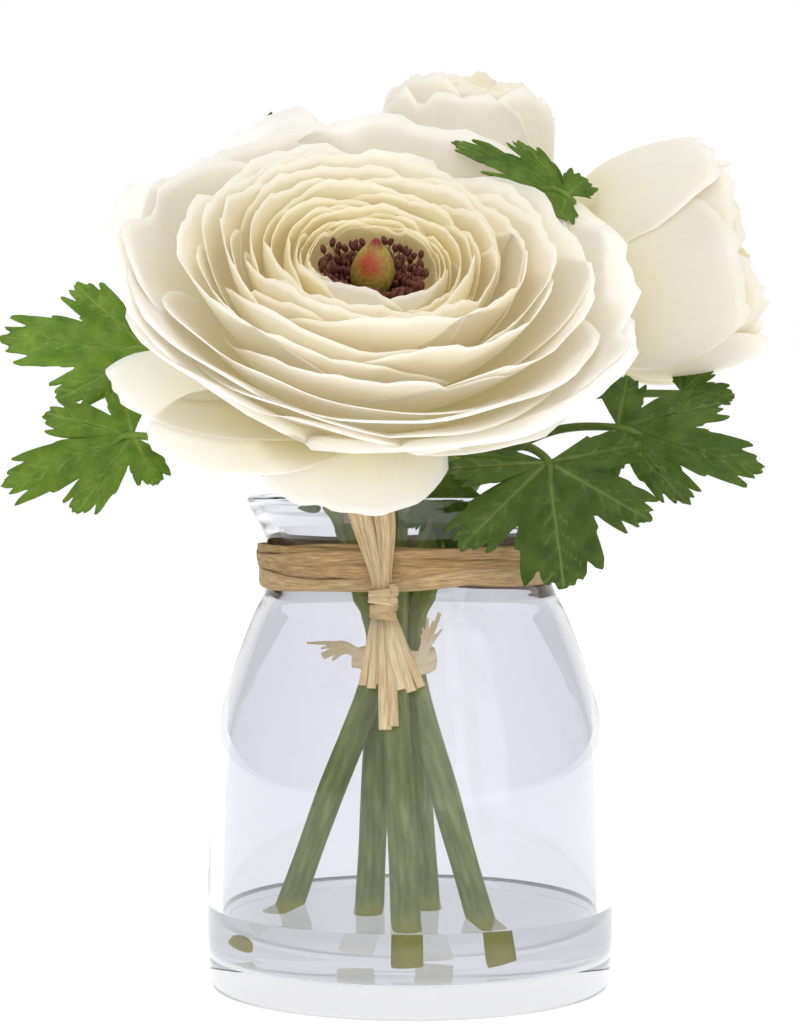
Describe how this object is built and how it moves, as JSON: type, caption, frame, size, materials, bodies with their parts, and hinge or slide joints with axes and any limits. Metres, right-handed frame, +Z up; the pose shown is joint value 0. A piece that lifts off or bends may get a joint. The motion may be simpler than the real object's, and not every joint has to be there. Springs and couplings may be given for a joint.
{
  "type": "ranunculus flower in a vase",
  "caption": "Cream ranunculus blooms with lobed green leaves, standing in shallow water in a clear glass jar vase tied with raffia.",
  "frame": {"origin": "centre of the vase's flat underside", "axes": "+Z up along the vase's axis; -Y is the side that the open bloom faces; +X is to the right seen from that side"},
  "size_m": [0.1445, 0.1128, 0.1763],
  "materials": {
    "clear_glass": "clear, polished",
    "water": "clear, still water",
    "petal_cream": "soft matt petal, cream with a yellow-green base",
    "receptacle_green": "soft matt, pale green",
    "pistil": "satin, yellow-green with a red tip",
    "stamens": "matt, dark maroon",
    "stem_green": "satin, grey-green",
    "leaf_green": "satin leaf green with paler veins",
    "raffia": "dry, fibrous straw"
  },
  "bodies": {
    "root": {"back_bloom_petal_01": "petal_cream", "back_bloom_petal_02": "petal_cream", "back_bloom_petal_03": "petal_cream", "back_bloom_petal_04": "petal_cream", "back_bloom_petal_05": "petal_cream", "back_bloom_petal_06": "petal_cream", "back_bloom_receptacle": "receptacle_green", "leaf_back": "leaf_green", "leaf_crown": "leaf_green", "leaf_front_right": "leaf_green", "leaf_left_lower": "leaf_green", "leaf_left_upper": "leaf_green", "leaf_neck": "leaf_green", "leaf_right": "leaf_green", "leaf_right_small": "leaf_green", "main_bloom_petal_01": "petal_cream", "main_bloom_petal_02": "petal_cream", "main_bloom_petal_03": "petal_cream", "main_bloom_petal_04": "petal_cream", "main_bloom_petal_05": "petal_cream", "main_bloom_petal_06": "petal_cream", "main_bloom_petal_07": "petal_cream", "main_bloom_petal_08": "petal_cream", "main_bloom_petal_09": "petal_cream", "main_bloom_petal_10": "petal_cream", "main_bloom_petal_11": "petal_cream", "main_bloom_petal_12": "petal_cream", "main_bloom_petal_13": "petal_cream", "main_bloom_petal_14": "petal_cream", "main_bloom_petal_15": "petal_cream", "main_bloom_petal_16": "petal_cream", "main_bloom_petal_17": "petal_cream", "main_bloom_petal_18": "petal_cream", "main_bloom_pistil": "pistil", "main_bloom_receptacle": "receptacle_green", "main_bloom_stamens": "stamens", "raffia_knot": "raffia", "raffia_neck_band": "raffia", "raffia_stem_tie": "raffia", "raffia_tail_center": "raffia", "raffia_tail_left": "raffia", "raffia_tail_right": "raffia", "raffia_tuft_left": "raffia", "raffia_tuft_right": "raffia", "raffia_upright_strands": "raffia", "right_bloom_petal_01": "petal_cream", "right_bloom_petal_02": "petal_cream", "right_bloom_petal_03": "petal_cream", "right_bloom_petal_04": "petal_cream", "right_bloom_petal_05": "petal_cream", "right_bloom_petal_06": "petal_cream", "right_bloom_receptacle": "receptacle_green", "stem_back_bloom": "stem_green", "stem_left_leaves": "stem_green", "stem_main_bloom": "stem_green", "stem_right_bloom": "stem_green", "stem_right_leaves": "stem_green", "vase": "clear_glass", "water": "water"}
  },
  "joints": []
}
